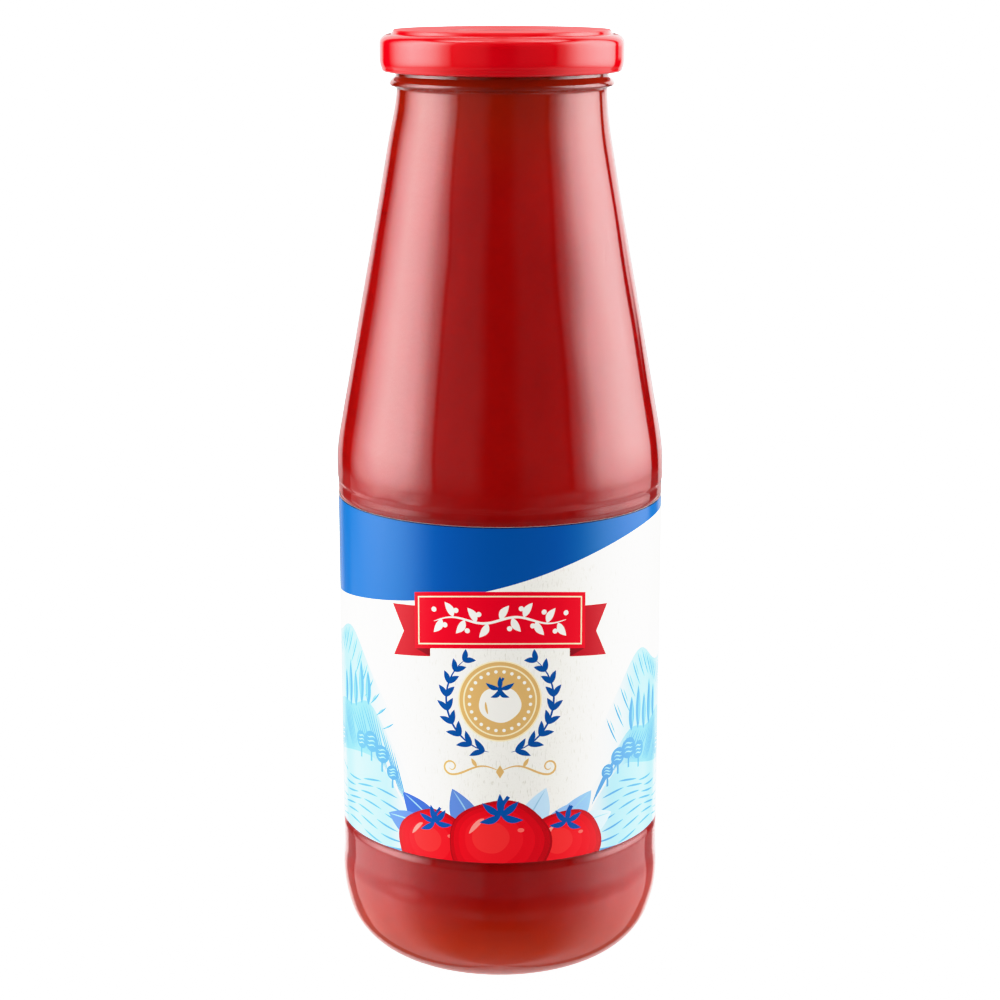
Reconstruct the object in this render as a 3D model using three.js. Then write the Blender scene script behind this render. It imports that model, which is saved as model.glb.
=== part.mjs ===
// A glass bottle of sieved tomato sauce with a twist-off metal lid and a paper label.
// Units are millimetres, +Z is up, and the origin is the centre of the circle the bottle stands on.
// Every piece is turned about the Z axis, except the label, which is a strip bent round the body.
import * as THREE from "three";
import { mergeVertices } from "three/addons/utils/BufferGeometryUtils.js";

// ---------- driving dimensions ----------
const SEGMENTS = 52; // steps round every turned piece
const GAP = 0.3; // clearance between pieces that touch on the real bottle

// foot and heel
const PUSH_UP = 2.6; // height of the hollow under the base
const RING_IN_R = 21.2; // flat ring that the bottle stands on
const RING_OUT_R = 22.944;
const HEEL_LOW_ROUND = 15.407; // radius of the lower heel curve
const HEEL_HIGH_ROUND = 31.215; // radius of the upper heel curve
const HEEL_JOIN = 0.321; // angle where the two heel curves meet, in radians
const BODY_R = 39.16; // widest radius, just above the heel
const BODY_Z = 20.4; // height of that widest ring
const LOWER_WALL_R = 38.88; // wall between the widest ring and the label panel

// label panel, a band that lies slightly deeper than the wall
const PANEL_R = 38.35;
const PANEL_LOW_Z = 33.5;
const PANEL_HIGH_Z = 115.3;
const PANEL_STEP = 0.5;
const COLLAR_R = 38.84; // wall between the panel and the shoulder ridge
const RIDGE_Z = 117.7; // small step below the shoulder
const SHOULDER_R = 39.08;
const SHOULDER_Z = 121.8; // the shoulder starts to lean in here
const SHOULDER_ROUND = 39.6;

// long cone, neck and finish
const CONE_LOW_Z = 128.8;
const CONE_LOW_R = 38.48;
const CONE_HIGH_Z = 201.2;
const CONE_HIGH_R = 25.52;
const CONE_SAG = 0.1; // how far the cone dips inwards at half height
const NECK_Z = 206.8;
const NECK_R = 24.75;
const BEAD_LOW_Z = 209.5; // ring of glass below the lid
const BEAD_Z = 211.1;
const BEAD_HIGH_Z = 213.4;
const BEAD_R = 26.0;
const FINISH_R = 24.85;
const RIM_Z = 221.8;
const RIM_ROUND = 0.9;
const MOUTH_R = 21.9;

// inside of the glass
const FLOOR_Z = 8.2; // middle of the floor
const FLOOR_LOW_Z = 6.6; // lowest ring of the floor
const FLOOR_R = 22.0;
const INNER_HEEL_Z = 20.5;
const INNER_BODY_R = 36.2;
const INNER_PANEL_R = 35.9;
const CONE_WALL = 2.75; // wall thickness in the cone

// contents
const FILL_Z = 214.6;

// lid
const LID_LOW_Z = 214.15;
const LID_R = 28.04;
const LID_WALL = 0.8;
const CURL_ROUND = 0.78; // rolled lower edge
const LID_SHOULDER_Z = 222.3;
const LID_EDGE_ROUND = 0.9;
const PLATEAU_R = 24.7; // raised flat top
const PLATEAU_Z = 223.4;
const BUTTON_R = 11.5; // shallow round dip in the middle of the top
const BUTTON_DIP = 0.45;

// label
const LABEL_LOW_Z = 34.0;
const LABEL_HIGH_Z = 114.6;
const LABEL_OUT_R = 38.92;
const LABEL_IN_R = 38.65;
const LABEL_OPEN_STEPS = 2; // steps left bare between the label's two ends, at the back

// ---------- helpers ----------
const p = (r, z) => new THREE.Vector2(r, z);

// Points on a circle or ellipse in the r-z plane, both ends included.
function arc(cr, cz, rr, rz, from, to, steps) {
  const out = [];
  for (let i = 0; i <= steps; i++) {
    const a = from + ((to - from) * i) / steps;
    out.push(p(cr + rr * Math.cos(a), cz + rz * Math.sin(a)));
  }
  return out;
}

// Points on the outer cone, offset inwards by `wall`.
function cone(wall, steps) {
  const out = [];
  for (let i = 0; i <= steps; i++) {
    const t = i / steps;
    const r =
      THREE.MathUtils.lerp(CONE_LOW_R, CONE_HIGH_R, t) -
      CONE_SAG * Math.sin(Math.PI * t);
    out.push(p(r - wall, THREE.MathUtils.lerp(CONE_LOW_Z, CONE_HIGH_Z, t)));
  }
  return out;
}

// Closed surface with shared corners and no triangle of zero width.
function closed(geometry) {
  geometry.deleteAttribute("normal");
  geometry.deleteAttribute("uv");
  const merged = mergeVertices(geometry, 1e-4);
  const index = merged.index.array;
  const kept = [];
  for (let i = 0; i < index.length; i += 3) {
    const [a, b, c] = [index[i], index[i + 1], index[i + 2]];
    if (a !== b && b !== c && c !== a) kept.push(a, b, c);
  }
  merged.setIndex(kept);
  merged.computeVertexNormals();
  return merged;
}

// A profile in the r-z plane turned once about the Z axis.
function turned(profile) {
  const geometry = new THREE.LatheGeometry(profile, SEGMENTS);
  geometry.rotateX(Math.PI / 2);
  return closed(geometry);
}

function add(group, name, geometry, material) {
  const mesh = new THREE.Mesh(geometry, material);
  mesh.name = name;
  group.add(mesh);
}

// ---------- glass bottle ----------
// Inner wall from the floor's middle up to the mouth, moved inwards by `gap`.
// The same curve gives the inside of the glass and the outside of the sauce.
function innerWall(gap, topZ) {
  const floor = [];
  for (let i = 0; i <= 3; i++) {
    const t = i / 3;
    const dome = 0.5 + 0.5 * Math.cos(Math.PI * t);
    floor.push(
      p(FLOOR_R * t, FLOOR_LOW_Z + (FLOOR_Z - FLOOR_LOW_Z) * dome + gap),
    );
  }
  const heel = arc(
    FLOOR_R,
    INNER_HEEL_Z,
    INNER_BODY_R - FLOOR_R - gap,
    INNER_HEEL_Z - FLOOR_LOW_Z - gap,
    -Math.PI / 2,
    0,
    6,
  ).slice(1);
  return [
    ...floor,
    ...heel,
    p(INNER_PANEL_R - gap, PANEL_LOW_Z),
    p(INNER_PANEL_R - gap, SHOULDER_Z),
    ...cone(CONE_WALL + gap, 3),
    p(MOUTH_R - gap, NECK_Z),
    p(MOUTH_R - gap, topZ),
  ];
}

function bottleProfile() {
  const foot = [];
  for (let i = 0; i <= 3; i++) {
    const t = i / 3;
    foot.push(
      p(RING_IN_R * 0.94 * t, PUSH_UP * Math.cos((Math.PI / 2) * t * 0.9)),
    );
  }
  const heel = [
    ...arc(
      RING_OUT_R,
      HEEL_LOW_ROUND,
      HEEL_LOW_ROUND,
      HEEL_LOW_ROUND,
      -Math.PI / 2,
      -HEEL_JOIN,
      6,
    ),
    ...arc(
      BODY_R - HEEL_HIGH_ROUND,
      BODY_Z,
      HEEL_HIGH_ROUND,
      HEEL_HIGH_ROUND,
      -HEEL_JOIN,
      0,
      2,
    ).slice(1),
  ];
  const lean = (CONE_LOW_Z - SHOULDER_Z) / SHOULDER_ROUND;
  const shoulder = arc(
    SHOULDER_R - SHOULDER_ROUND,
    SHOULDER_Z,
    SHOULDER_ROUND,
    SHOULDER_ROUND,
    0,
    lean,
    2,
  ).slice(0, -1);
  return [
    ...foot,
    p(RING_IN_R, 0),
    ...heel,
    p(LOWER_WALL_R, BODY_Z + 6),
    p(LOWER_WALL_R, PANEL_LOW_Z - PANEL_STEP),
    p(PANEL_R, PANEL_LOW_Z),
    p(PANEL_R, PANEL_HIGH_Z),
    p(COLLAR_R, PANEL_HIGH_Z + PANEL_STEP),
    p(COLLAR_R, RIDGE_Z),
    p(SHOULDER_R, RIDGE_Z + 1),
    ...shoulder,
    ...cone(0, 4),
    p(NECK_R, NECK_Z),
    p(NECK_R, BEAD_LOW_Z),
    ...arc(
      NECK_R,
      BEAD_Z,
      BEAD_R - NECK_R,
      (BEAD_Z - BEAD_LOW_Z) * 0.75,
      -Math.PI / 3,
      Math.PI / 6,
      2,
    ),
    p(FINISH_R, BEAD_HIGH_Z),
    ...arc(
      FINISH_R - RIM_ROUND,
      RIM_Z - RIM_ROUND,
      RIM_ROUND,
      RIM_ROUND,
      0,
      Math.PI / 2,
      2,
    ),
    ...arc(
      MOUTH_R + RIM_ROUND,
      RIM_Z - RIM_ROUND,
      RIM_ROUND,
      RIM_ROUND,
      Math.PI / 2,
      Math.PI,
      2,
    ),
    ...innerWall(0, RIM_Z - RIM_ROUND)
      .reverse()
      .slice(1),
  ];
}

// ---------- sauce ----------
function sauceProfile() {
  return [...innerWall(GAP, FILL_Z), p(0, FILL_Z)];
}

// ---------- lid ----------
function lidProfile() {
  const dip = PLATEAU_Z - BUTTON_DIP;
  return [
    // underside, from the middle out to the skirt
    p(0, dip - LID_WALL),
    p(BUTTON_R, PLATEAU_Z - LID_WALL - BUTTON_DIP * 0.5),
    p(PLATEAU_R, PLATEAU_Z - LID_WALL - BUTTON_DIP * 0.5),
    p(LID_R - LID_WALL, LID_SHOULDER_Z - LID_WALL * 1.2),
    // down the inside of the skirt and round the rolled edge
    p(LID_R - LID_WALL, LID_LOW_Z + 2.4 * CURL_ROUND),
    ...arc(
      LID_R - CURL_ROUND,
      LID_LOW_Z + CURL_ROUND,
      CURL_ROUND,
      CURL_ROUND,
      Math.PI,
      2 * Math.PI,
      4,
    ),
    // up the outside, over the edge and on to the raised top
    ...arc(
      LID_R - LID_EDGE_ROUND - 0.1,
      LID_SHOULDER_Z - LID_EDGE_ROUND,
      LID_EDGE_ROUND,
      LID_EDGE_ROUND,
      0,
      Math.PI / 2,
      2,
    ),
    p(PLATEAU_R + 0.7, LID_SHOULDER_Z),
    p(PLATEAU_R, PLATEAU_Z - 0.25),
    p(PLATEAU_R - 0.5, PLATEAU_Z),
    p(BUTTON_R + 1.5, PLATEAU_Z),
    p(BUTTON_R - 1.5, dip),
    p(0, dip),
  ];
}

// ---------- label ----------
// The cross-section is a C that follows the steps of the panel; it is raised along Z.
function labelGeometry() {
  const half = SEGMENTS / 2 - LABEL_OPEN_STEPS / 2;
  const shape = new THREE.Shape();
  for (let i = -half; i <= half; i++) {
    const a = (2 * Math.PI * i) / SEGMENTS;
    const [x, y] = [LABEL_OUT_R * Math.sin(a), -LABEL_OUT_R * Math.cos(a)];
    if (i === -half) shape.moveTo(x, y);
    else shape.lineTo(x, y);
  }
  for (let i = half; i >= -half; i--) {
    const a = (2 * Math.PI * i) / SEGMENTS;
    shape.lineTo(LABEL_IN_R * Math.sin(a), -LABEL_IN_R * Math.cos(a));
  }
  shape.closePath();
  const geometry = new THREE.ExtrudeGeometry(shape, {
    depth: LABEL_HIGH_Z - LABEL_LOW_Z,
    steps: 1,
    bevelEnabled: false,
  });
  geometry.translate(0, 0, LABEL_LOW_Z);
  return closed(geometry);
}

// ---------- assembly ----------
const glass = new THREE.MeshStandardMaterial({
  color: 0xe3ebe4,
  roughness: 0.05,
  metalness: 0,
  transparent: true,
  opacity: 0.35,
});
const sauce = new THREE.MeshStandardMaterial({
  color: 0x9b1b12,
  roughness: 0.45,
  metalness: 0,
});
const enamel = new THREE.MeshStandardMaterial({
  color: 0xd40019,
  roughness: 0.22,
  metalness: 0.1,
});
const paper = new THREE.MeshStandardMaterial({
  color: 0xebe8dc,
  roughness: 0.5,
  metalness: 0,
});

const group = new THREE.Group();
add(group, "bottle", turned(bottleProfile()), glass);
add(group, "passata", turned(sauceProfile()), sauce);
add(group, "lid", turned(lidProfile()), enamel);
add(group, "label", labelGeometry(), paper);

export default group;
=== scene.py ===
# A glass bottle of sieved tomato sauce with a red metal lid and a paper label.
# Lengths in the tables are millimetres, and MM turns them into metres.
# +Z is up, and -Y points to the middle of the label's front.
import math

import bpy
import numpy as np
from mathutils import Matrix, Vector, noise
from mathutils.geometry import delaunay_2d_cdt


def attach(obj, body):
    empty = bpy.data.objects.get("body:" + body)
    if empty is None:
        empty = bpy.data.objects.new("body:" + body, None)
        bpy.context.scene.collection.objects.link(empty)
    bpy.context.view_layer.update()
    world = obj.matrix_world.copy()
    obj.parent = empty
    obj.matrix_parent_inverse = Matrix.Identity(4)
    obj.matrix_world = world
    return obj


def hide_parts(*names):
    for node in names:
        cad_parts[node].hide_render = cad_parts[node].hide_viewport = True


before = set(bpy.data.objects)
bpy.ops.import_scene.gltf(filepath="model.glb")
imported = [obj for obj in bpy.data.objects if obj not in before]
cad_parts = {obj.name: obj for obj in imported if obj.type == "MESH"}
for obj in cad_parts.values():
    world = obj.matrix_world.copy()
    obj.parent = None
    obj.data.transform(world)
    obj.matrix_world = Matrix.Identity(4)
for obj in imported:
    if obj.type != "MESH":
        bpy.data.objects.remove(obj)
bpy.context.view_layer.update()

MM = 0.001
TAU = 2 * math.pi


# ------------------------------------------------------------------ helpers
def smooth(a, b, x):
    """0 below a, 1 above b, and an even slope between them."""
    t = min(1.0, max(0.0, (x - a) / (b - a)))
    return t * t * (3 - 2 * t)


def lerp(a, b, t):
    return a + (b - a) * t


def arc(cr, cz, rr, rz, start, end, steps):
    out = []
    for i in range(steps + 1):
        a = start + (end - start) * i / steps
        out.append((cr + rr * math.cos(a), cz + rz * math.sin(a)))
    return out


def line(r0, z0, r1, z1, step):
    """Points from one end to the other, the first end left out."""
    n = max(1, int(math.ceil(math.hypot(r1 - r0, z1 - z0) / step)))
    return [(lerp(r0, r1, i / n), lerp(z0, z1, i / n)) for i in range(1, n + 1)]


def eased(r0, z0, r1, z1, steps):
    """A step in the wall with a soft start and end."""
    out = []
    for i in range(1, steps + 1):
        t = i / steps
        out.append((lerp(r0, r1, t * t * (3 - 2 * t)), lerp(z0, z1, t)))
    return out


def put(name, verts, faces):
    me = bpy.data.meshes.new(name)
    me.from_pydata([tuple(v) for v in verts], [], faces)
    me.validate()
    me.shade_smooth()
    ob = bpy.data.objects.new(name, me)
    bpy.context.scene.collection.objects.link(ob)
    return ob


def lean_x(z):
    """The neck and the lid stand a little to one side of the body's axis."""
    return 0.47 * smooth(198.0, 211.0, z)


def lathe(name, profile, segments, move=None):
    """Turns a profile (millimetres, both ends on the axis) once about Z.
    move(r, z, angle, i) gives a shift (dr, dz) for a point."""
    verts, rings = [], []
    last = len(profile) - 1
    for i, (r, z) in enumerate(profile):
        if r < 1e-6:
            rings.append([len(verts)] * segments)
            verts.append((lean_x(z) * MM, 0.0, z * MM))
            continue
        ring = []
        for j in range(segments):
            a = TAU * j / segments
            dr, dz = move(r, z, a, i) if move else (0.0, 0.0)
            ring.append(len(verts))
            verts.append(
                (((r + dr) * math.cos(a) + lean_x(z)) * MM, (r + dr) * math.sin(a) * MM, (z + dz) * MM)
            )
        rings.append(ring)
    faces = []
    for i in range(last):
        low, high = rings[i], rings[i + 1]
        for j in range(segments):
            k = (j + 1) % segments
            if low[0] == low[1]:
                faces.append((low[j], high[k], high[j]))
            elif high[0] == high[1]:
                faces.append((low[j], low[k], high[j]))
            else:
                faces.append((low[j], low[k], high[k], high[j]))
    return put(name, verts, faces)


def srgb(r, g, b):
    def one(v):
        v /= 255
        return v / 12.92 if v <= 0.04045 else ((v + 0.055) / 1.055) ** 2.4

    return (one(r), one(g), one(b))


class Nodes:
    """A short way to write node materials."""

    def __init__(self, name, world=None):
        owner = world or bpy.data.materials.new(name)
        owner.use_nodes = True
        self.owner = owner
        self.tree = owner.node_tree
        self.tree.nodes.clear()

    def add(self, kind, **values):
        node = self.tree.nodes.new(kind)
        for key, value in values.items():
            setattr(node, key, value)
        return node

    def link(self, a, b):
        self.tree.links.new(a, b)

    def math(self, op, a, b=None, c=None, clamp=False):
        node = self.add("ShaderNodeMath", operation=op, use_clamp=clamp)
        for socket, value in zip(node.inputs, (a, b, c)):
            if value is None:
                continue
            if isinstance(value, (int, float)):
                socket.default_value = value
            else:
                self.link(value, socket)
        return node.outputs[0]

    def ramp(self, fac, stops, mode="LINEAR"):
        node = self.add("ShaderNodeValToRGB")
        node.color_ramp.interpolation = mode
        elements = node.color_ramp.elements
        while len(elements) > 1:
            elements.remove(elements[-1])
        for n, (place, colour) in enumerate(stops):
            if isinstance(colour, (int, float)):
                colour = (colour, colour, colour)
            e = elements[0] if n == 0 else elements.new(place)
            e.position = place
            e.color = (*colour, 1.0)
        self.link(fac, node.inputs[0])
        return node.outputs[0]

    def mix(self, fac, a, b, blend="MIX"):
        node = self.add("ShaderNodeMix", data_type="RGBA", blend_type=blend)
        for key, value in ((0, fac), (6, a), (7, b)):
            if isinstance(value, (int, float)):
                node.inputs[key].default_value = value
            elif isinstance(value, tuple):
                node.inputs[key].default_value = (*value, 1.0)
            else:
                self.link(value, node.inputs[key])
        return node.outputs[2]

    def noise(self, vector, scale, detail=2.0, rough=0.5, distortion=0.0):
        node = self.add("ShaderNodeTexNoise")
        node.inputs["Scale"].default_value = scale
        node.inputs["Detail"].default_value = detail
        node.inputs["Roughness"].default_value = rough
        node.inputs["Distortion"].default_value = distortion
        self.link(vector, node.inputs["Vector"])
        return node.outputs["Fac"]

    def scaled(self, vector, x, y, z):
        node = self.add("ShaderNodeMapping")
        node.inputs["Scale"].default_value = (x, y, z)
        self.link(vector, node.inputs["Vector"])
        return node.outputs[0]

    def bump(self, height, strength, distance):
        node = self.add("ShaderNodeBump")
        node.inputs["Strength"].default_value = strength
        node.inputs["Distance"].default_value = distance
        self.link(height, node.inputs["Height"])
        return node.outputs[0]

    def principled(self, **values):
        node = self.add("ShaderNodeBsdfPrincipled")
        for key, value in values.items():
            node.inputs[key.replace("_", " ")].default_value = value
        out = self.add("ShaderNodeOutputMaterial")
        self.link(node.outputs[0], out.inputs[0])
        return node


# ------------------------------------------------------------------- camera
cam_data = bpy.data.cameras.new("camera")
cam_data.sensor_width = 36.0
cam_data.lens = 83.88
cam_data.clip_start = 0.01
cam_data.clip_end = 200.0
cam = bpy.data.objects.new("camera", cam_data)
bpy.context.scene.collection.objects.link(cam)
cam.location = (0.0, -0.5478, 0.2413)
aim = Vector((0.0, 0.0, 0.1118)) - cam.location
cam.rotation_euler = aim.to_track_quat("-Z", "Y").to_euler()
bpy.context.scene.camera = cam
bpy.context.scene.view_settings.view_transform = "Standard"
bpy.context.scene.view_settings.look = "None"
bpy.context.scene.view_settings.exposure = 0.0
bpy.context.scene.view_settings.gamma = 1.0
# a soft shoulder, so that bright paper keeps its tone: 2.0 is shown as white
look = bpy.context.scene.view_settings
look.use_curve_mapping = True
look.curve_mapping.black_level = (0.0, 0.0, 0.0)
look.curve_mapping.white_level = (2.0, 2.0, 2.0)
look.curve_mapping.extend = "HORIZONTAL"
curve = look.curve_mapping.curves[3]
for x, y in ((0.15, 0.30), (0.22, 0.455), (0.285, 0.625), (0.34, 0.755), (0.42, 0.885), (0.50, 0.94), (0.75, 0.985)):
    curve.points.new(x, y)
curve.points[0].handle_type = "VECTOR"
curve.points[1].handle_type = "VECTOR"
look.curve_mapping.update()

# -------------------------------------------------------------- glass bottle
PUSH_UP = 2.6
BODY_R, BODY_Z = 39.16, 20.4
LOWER_WALL_R = 38.88
PANEL_R, PANEL_LOW_Z, PANEL_HIGH_Z = 38.62, 33.4, 115.2
COLLAR_R, RIDGE_Z = 38.84, 117.7
SHOULDER_R, SHOULDER_Z, SHOULDER_ROUND = 39.08, 121.8, 39.6
CONE_LOW, CONE_HIGH, CONE_SAG = (38.48, 128.8), (25.52, 201.2), 0.1
NECK_R, NECK_Z = 24.75, 206.8
MOUTH_R, RIM_Z = 21.9, 221.8
FILL_Z = 214.6


def cone_r(z, wall=0.0):
    t = (z - CONE_LOW[1]) / (CONE_HIGH[1] - CONE_LOW[1])
    return lerp(CONE_LOW[0], CONE_HIGH[0], t) - CONE_SAG * math.sin(math.pi * t) - wall


def cone(wall, step):
    n = int((CONE_HIGH[1] - CONE_LOW[1]) / step)
    zs = [lerp(CONE_LOW[1], CONE_HIGH[1], i / n) for i in range(n + 1)]
    return [(cone_r(z, wall), z) for z in zs]


def outer_profile():
    foot = []
    for i in range(11):
        t = i / 10
        foot.append((20.9 * t, PUSH_UP * math.cos(math.pi / 2 * t * 0.965)))
    lean = (CONE_LOW[1] - SHOULDER_Z) / SHOULDER_ROUND
    pts = foot
    pts += [(21.3, 0.03), (21.7, 0.0), (22.2, 0.0)]
    pts += arc(22.944, 15.407, 15.407, 15.407, -math.pi / 2, -0.321, 26)
    pts += arc(BODY_R - 31.215, BODY_Z, 31.215, 31.215, -0.321, 0, 9)[1:]
    pts += eased(BODY_R, BODY_Z, LOWER_WALL_R, BODY_Z + 6, 6)
    pts += line(LOWER_WALL_R, BODY_Z + 6, LOWER_WALL_R, PANEL_LOW_Z - 1.7, 1.2)
    pts += eased(LOWER_WALL_R, PANEL_LOW_Z - 1.7, PANEL_R, PANEL_LOW_Z + 0.3, 8)
    pts += line(PANEL_R, PANEL_LOW_Z, PANEL_R, PANEL_HIGH_Z - 0.6, 5.0)
    pts += eased(PANEL_R, PANEL_HIGH_Z - 0.6, COLLAR_R, PANEL_HIGH_Z + 0.3, 4)
    pts += line(COLLAR_R, PANEL_HIGH_Z + 0.3, COLLAR_R, RIDGE_Z - 0.2, 0.6)
    pts += eased(COLLAR_R, RIDGE_Z - 0.2, SHOULDER_R - 0.06, RIDGE_Z + 0.9, 6)
    pts += line(SHOULDER_R - 0.06, RIDGE_Z + 0.9, SHOULDER_R, SHOULDER_Z, 0.6)
    pts += arc(SHOULDER_R - SHOULDER_ROUND, SHOULDER_Z, SHOULDER_ROUND, SHOULDER_ROUND, 0, lean, 7)[1:-1]
    pts += cone(0.0, 1.25)
    pts += [(25.2, 203.1), (24.95, 204.7), (24.79, 206.0), (24.66, 207.2), (24.57, 208.3)]
    pts += [(24.5, 209.2), (24.47, 209.7), (24.49, 209.95), (24.58, 210.14), (24.76, 210.3)]
    pts += [(25.02, 210.43), (25.3, 210.54)]
    pts += arc(25.53, 211.2, 0.58, 0.6, -1.25, 0.62, 11)
    pts += [(25.9, 211.78), (25.7, 212.02), (25.42, 212.27), (25.14, 212.48), (24.92, 212.68)]
    pts += [(24.79, 212.88), (24.74, 213.1), (24.72, 213.4), (24.72, 213.8)]
    pts += line(24.72, 213.8, 24.72, RIM_Z - 0.9, 2.0)
    pts += arc(23.82, RIM_Z - 0.9, 0.9, 0.9, 0, math.pi / 2, 5)[1:]
    return pts


def inner_profile(gap, top):
    """From the middle of the floor up to the mouth. A positive gap lies inside
    the wall's surface, and a negative one reaches into the glass."""
    pts = []
    for i in range(9):
        t = i / 8
        pts.append((22.0 * t, 6.6 + 1.6 * (0.5 + 0.5 * math.cos(math.pi * t)) + gap))
    pts += arc(22.0, 20.5, 14.2 - gap, 13.9 - gap, -math.pi / 2, 0, 18)[1:]
    pts += line(36.2 - gap, 20.5, 35.9 - gap, 33.5, 4.0)
    pts += line(35.9 - gap, 33.5, 35.9 - gap, SHOULDER_Z, 8.0)
    pts += [(35.86 - gap, 124.0), (35.81 - gap, 126.5)]
    pts += cone(2.75 + gap, 4.0)
    pts += [(22.35 - gap, 203.6), (22.0 - gap, 205.6), (MOUTH_R - gap, 207.4)]
    pts += line(MOUTH_R - gap, 207.4, MOUTH_R - gap, top, 2.0)
    return pts


outer = outer_profile()
inner = inner_profile(0.0, RIM_Z - 0.9)
lip = arc(MOUTH_R + 0.9, RIM_Z - 0.9, 0.9, 0.9, math.pi / 2, math.pi, 5)[:-1]
glass_profile = outer + lip + inner[::-1]
N_OUTER = len(outer)


def glass_move(r, z, a, i):
    """Slow waves of pressed glass, the seam of the two mould halves, the fine
    joint between body mould and neck ring, and the grip marks on the foot."""
    if i >= N_OUTER or r < 1.0:
        return 0.0, 0.0
    x, y = r * math.cos(a), r * math.sin(a)
    dr = dz = 0.0
    live = smooth(3.0, 14.0, z) * (1 - smooth(205.5, 208.5, z))
    if live > 0:
        wave = 0.11 * noise.noise(Vector((x * 0.052, y * 0.052, z * 0.021 + 3.1)))
        wave += 0.10 * noise.noise(Vector((x * 0.105 + 9.0, y * 0.105, z * 0.052)))
        # the glass is most uneven round the shoulder and the heel
        rough = smooth(113.0, 118.0, z) * (1 - smooth(124.0, 140.0, z)) + 0.9 * (1 - smooth(22.0, 30.0, z))
        wave += rough * 0.075 * noise.noise(Vector((x * 0.085 + 4.0, y * 0.085, z * 0.14)))
        wave += rough * 0.022 * noise.noise(Vector((x * 0.2, y * 0.2 + 5.0, z * 0.32)))
        wave *= 0.4 + 0.6 * smooth(112.0, 118.0, z) + 0.5 * (1 - smooth(20.0, 32.0, z))
        dr += wave * live
    # vertical mould seam at both sides
    side = abs(math.sin(a))
    if z > 6.0 and r * side < 1.2 and abs(math.cos(a)) > 0.5:
        w = r * math.sin(a)
        dr += 0.07 * math.exp(-((w / 0.42) ** 2)) * smooth(6.0, 12.0, z) * (1 - smooth(206.0, 209.0, z))
    # uneven ring just above the label, where the body mould's plates meet
    ring = math.exp(-(((z - 118.2) / 0.5) ** 2))
    if ring > 0.02:
        dr += 0.045 * ring * noise.noise(Vector((x * 0.16, y * 0.16, z * 1.2)))
    # fine crease in the heel, only at parts of the way round
    crease = math.exp(-(((z - 16.8 - 1.0 * noise.noise(Vector((x * 0.08, y * 0.08, 7.0)))) / 0.3) ** 2))
    if crease > 0.02:
        part = max(math.exp(-((math.remainder(a - c, TAU) / 0.2) ** 4)) for c in (-2.42, -0.72, 0.9, 2.6))
        dr += 0.05 * crease * part
    # joint below the neck ring
    joint = math.exp(-(((z - 205.3) / 0.24) ** 2))
    if joint > 0.02:
        dr += 0.06 * joint * (0.6 + noise.noise(Vector((x * 0.14, y * 0.14, 1.0))))
    # grip marks on the standing ring
    foot = smooth(21.3, 21.9, r) * (1 - smooth(25.2, 26.4, r)) * (1 if z < 2.0 else 0)
    if foot > 0:
        dz += 0.16 * foot * (0.5 + 0.5 * math.sin(a * 128))
    return dr, dz


bottle = lathe("glass_bottle", glass_profile, 320, glass_move)

m = Nodes("clear_glass")
coord = m.add("ShaderNodeTexCoord").outputs["Object"]
bsdf = m.principled(
    Base_Color=(0.985, 0.992, 0.985, 1.0),
    Roughness=0.0,
    IOR=1.52,
    Transmission_Weight=1.0,
)
fine = m.noise(m.scaled(coord, 1, 1, 0.3), 60.0, 0.0, 0.4)
m.link(m.bump(fine, 0.3, 0.00003), bsdf.inputs["Normal"])
bottle.data.materials.append(m.owner)

# --------------------------------------------------------------------- sauce
sauce_profile = inner_profile(-0.05, FILL_Z)
sauce_profile += [(20.6, FILL_Z - 0.35), (17.0, FILL_Z - 0.5), (9.0, FILL_Z - 0.45), (0.0, FILL_Z - 0.4)]


def sauce_move(r, z, a, i):
    if z < FILL_Z - 1.0 or r < 1.0 or r > 21.2:
        return 0.0, 0.0
    return 0.0, 0.12 * noise.noise(Vector((r * math.cos(a) * 0.3, r * math.sin(a) * 0.3, 0.0)))


sauce = lathe("sauce_fill", sauce_profile, 256, sauce_move)

m = Nodes("tomato_sauce")
coord = m.add("ShaderNodeTexCoord").outputs["Object"]
height = m.add("ShaderNodeSeparateXYZ")
m.link(coord, height.inputs[0])
z_out = height.outputs["Z"]
clouds = m.noise(m.scaled(coord, 1, 1, 0.7), 38.0, 3.0, 0.55)
pulp = m.noise(coord, 900.0, 3.0, 0.6)
body = m.ramp(
    clouds,
    [(0.30, (0.44, 0.0012, 0.0012)), (0.52, (0.50, 0.0022, 0.0020)), (0.75, (0.56, 0.0050, 0.0034))],
)
grain = m.ramp(pulp, [(0.30, (0.95, 0.90, 0.90)), (0.50, (1.0, 1.0, 1.0)), (0.72, (1.03, 1.12, 1.12))])
mixed = m.mix(1.0, body, grain, "MULTIPLY")
# more orange and lighter in green from 183 mm up to the neck: partly the sauce's own tint, partly painted light that
# brightens the neck under the lid
top = m.ramp(m.math("MULTIPLY_ADD", z_out, 1 / 0.035, -0.183 / 0.035), [(0.0, 0.0), (1.0, 1.0)], "EASE")
sauce_tint_and_painted_light = m.mix(top, mixed, (0.48, 0.0175, 0.0006))
# lighter and more orange below 26.5 mm: painted light, standing for the light the pale table throws up into the heel
low = m.ramp(m.math("MULTIPLY_ADD", z_out, -1 / 0.020, 0.0265 / 0.020), [(0.0, 0.0), (1.0, 1.0)], "EASE")
sauce_tint_and_painted_light = m.mix(low, sauce_tint_and_painted_light, (0.72, 0.040, 0.002))
bsdf = m.principled(Roughness=0.55, Specular_IOR_Level=0.03)
m.link(sauce_tint_and_painted_light, bsdf.inputs["Base Color"])
m.link(m.ramp(pulp, [(0.3, 0.48), (0.7, 0.66)]), bsdf.inputs["Roughness"])
m.link(m.bump(pulp, 0.25, 0.0002), bsdf.inputs["Normal"])
sauce.data.materials.append(m.owner)

# ----------------------------------------------------------------------- lid
LID_R, LID_LOW_Z, CURL = 27.9, 213.85, 0.8


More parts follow.
